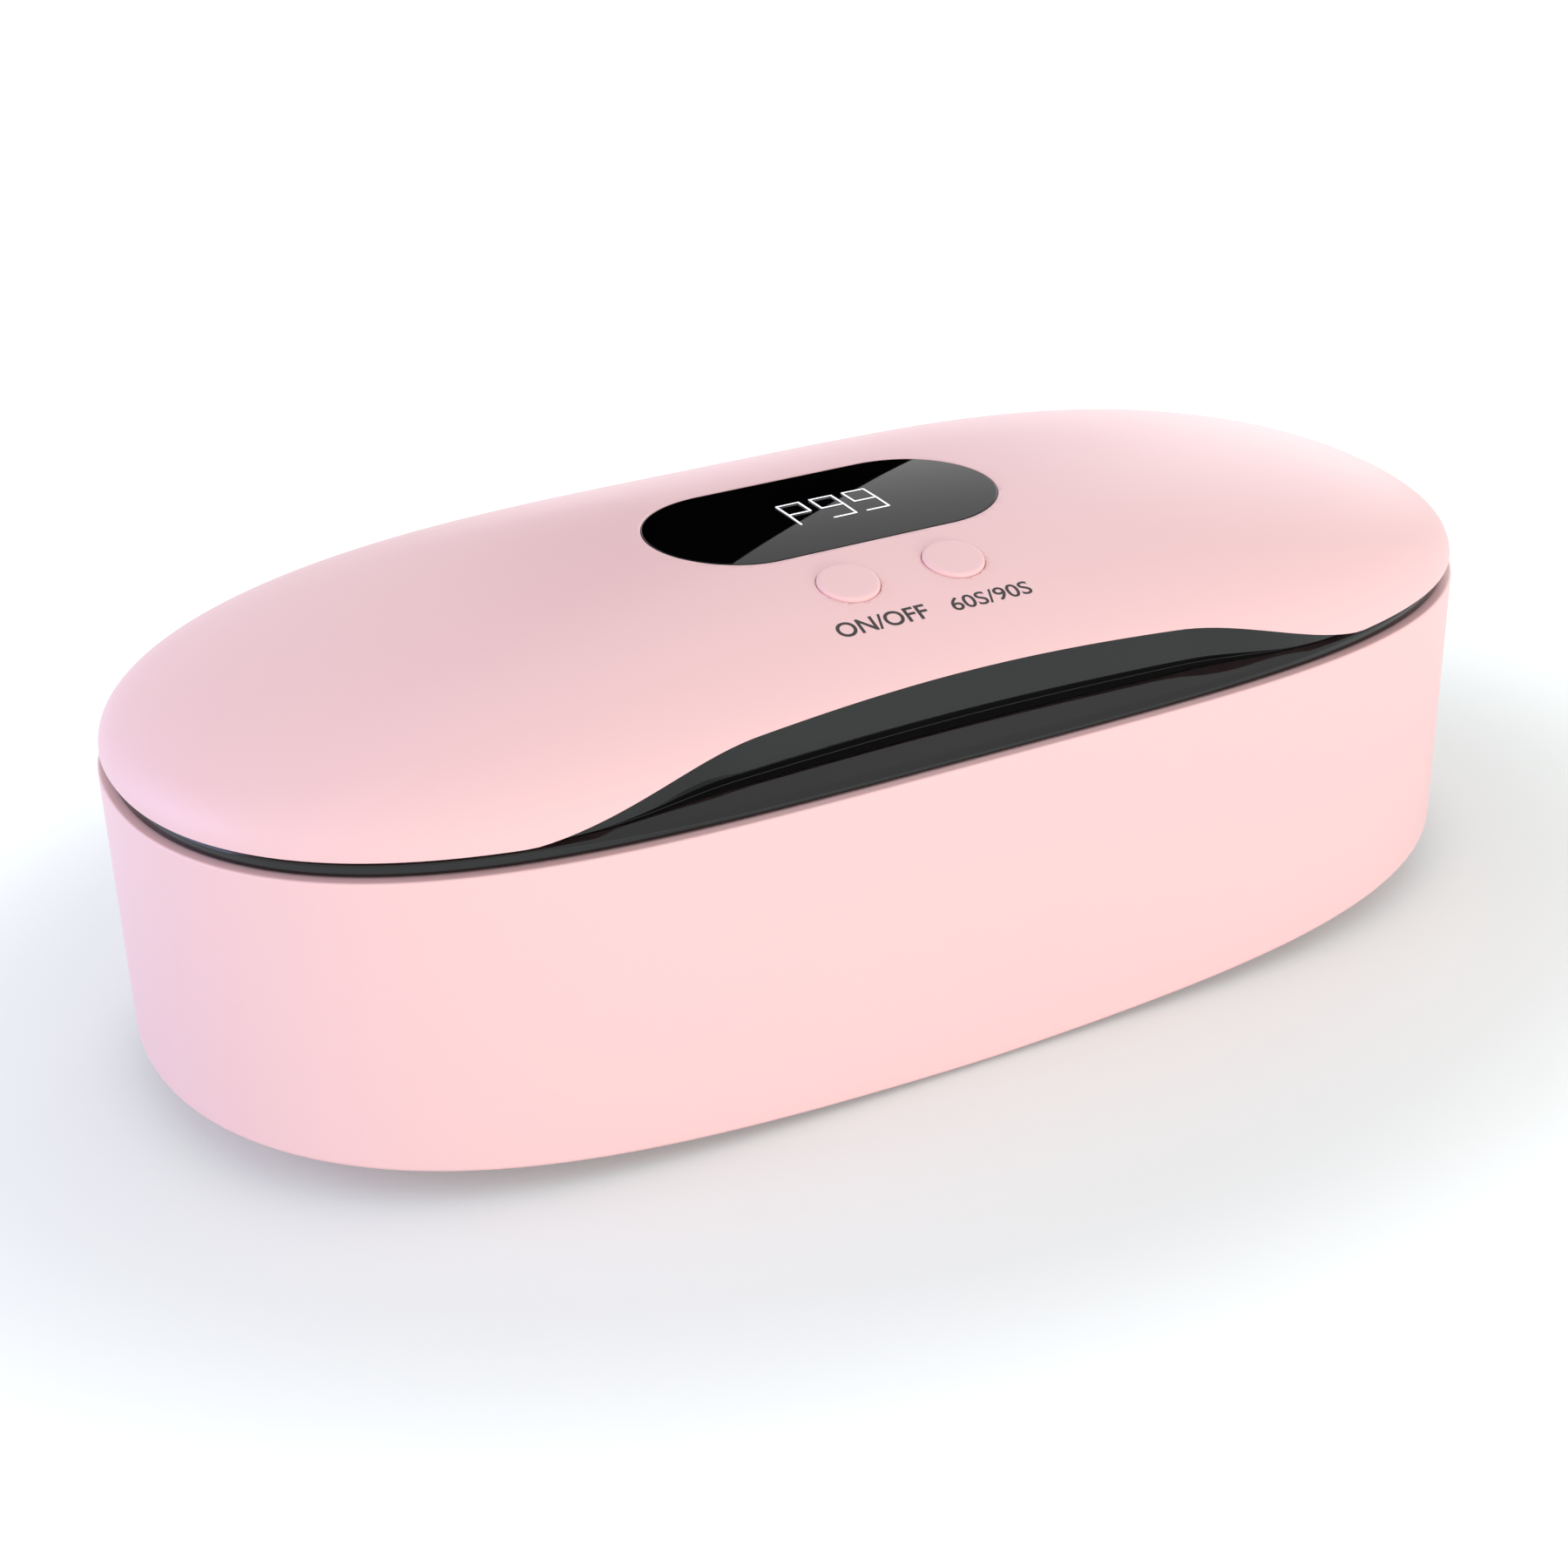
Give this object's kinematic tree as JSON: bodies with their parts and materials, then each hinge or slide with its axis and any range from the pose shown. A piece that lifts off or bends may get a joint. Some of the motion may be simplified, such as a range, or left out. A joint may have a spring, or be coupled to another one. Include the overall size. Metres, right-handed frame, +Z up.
{
  "type": "uv led nail lamp",
  "caption": "Clamshell nail lamp: a tub with a hand tray, and a domed hinged lid with UV LEDs, a display window, push buttons and a finger scoop.",
  "frame": {"origin": "centre of the outline, on the plane that the rubber feet stand on", "axes": "+X along the long side, -Y is the front with the finger scoop, +Z up"},
  "size_m": [0.22, 0.1042, 0.0719],
  "materials": {
    "pink_plastic": "satin pink plastic",
    "black_gloss": "glossy black plastic",
    "display_glass": "black display window, polished",
    "white_plastic": "white plastic, smooth",
    "grey_silicone": "soft grey silicone",
    "rubber": "black rubber",
    "steel": "plain steel",
    "magnet_nickel": "nickel plated",
    "circuit_board": "green circuit board",
    "white_board": "aluminium LED board with white mask",
    "cell_wrap": "blue cell wrap",
    "led_lens": "clear bead over a yellow die",
    "switch_black": "black moulded plastic"
  },
  "bodies": {
    "base": {"base_bottom": "pink_plastic", "base_magnet_left": "magnet_nickel", "base_magnet_right": "magnet_nickel", "base_shell": "pink_plastic", "battery_cell_front": "cell_wrap", "battery_cell_rear": "cell_wrap", "battery_holder": "switch_black", "bottom_screw_front_left": "steel", "bottom_screw_front_right": "steel", "bottom_screw_rear_left": "steel", "bottom_screw_rear_right": "steel", "charge_board": "circuit_board", "charge_port": "steel", "foot_front_left": "rubber", "foot_front_right": "rubber", "foot_rear_left": "rubber", "foot_rear_right": "rubber", "hand_mat": "grey_silicone", "hinge_pin": "steel", "tray": "white_plastic"},
    "lid": {"button_board": "circuit_board", "display_board": "circuit_board", "display_lens": "display_glass", "display_module": "switch_black", "led_board": "white_board", "lid_cover": "pink_plastic", "lid_liner": "black_gloss", "lid_magnet_left": "magnet_nickel", "lid_magnet_right": "magnet_nickel", "lid_plate": "white_plastic", "lid_screw_front_left": "steel", "lid_screw_front_right": "steel", "lid_screw_rear_left": "steel", "lid_screw_rear_right": "steel", "power_switch": "switch_black", "timer_switch": "switch_black", "uv_led_01": "led_lens", "uv_led_02": "led_lens", "uv_led_03": "led_lens", "uv_led_04": "led_lens", "uv_led_05": "led_lens", "uv_led_06": "led_lens", "uv_led_07": "led_lens", "uv_led_08": "led_lens", "uv_led_09": "led_lens", "uv_led_10": "led_lens", "uv_led_11": "led_lens", "uv_led_12": "led_lens", "uv_led_13": "led_lens", "uv_led_14": "led_lens", "uv_led_15": "led_lens"},
    "power_button": {"power_button": "pink_plastic"},
    "timer_button": {"timer_button": "pink_plastic"}
  },
  "joints": [
    {"name": "lid_hinge", "type": "hinge", "parent": "base", "child": "lid", "pos_m": [0, 0.0495, 0.05115], "axis": [-1, 0, 0], "range_deg": [0, 100]},
    {"name": "power_button_press", "type": "slide", "parent": "lid", "child": "power_button", "axis": [0.0006, 0.2139, -0.9769], "range_m": [0, 0.0005], "stiffness_N_per_m": 2500},
    {"name": "timer_button_press", "type": "slide", "parent": "lid", "child": "timer_button", "axis": [-0.0006, 0.2139, -0.9769], "range_m": [0, 0.0005], "stiffness_N_per_m": 2500}
  ]
}
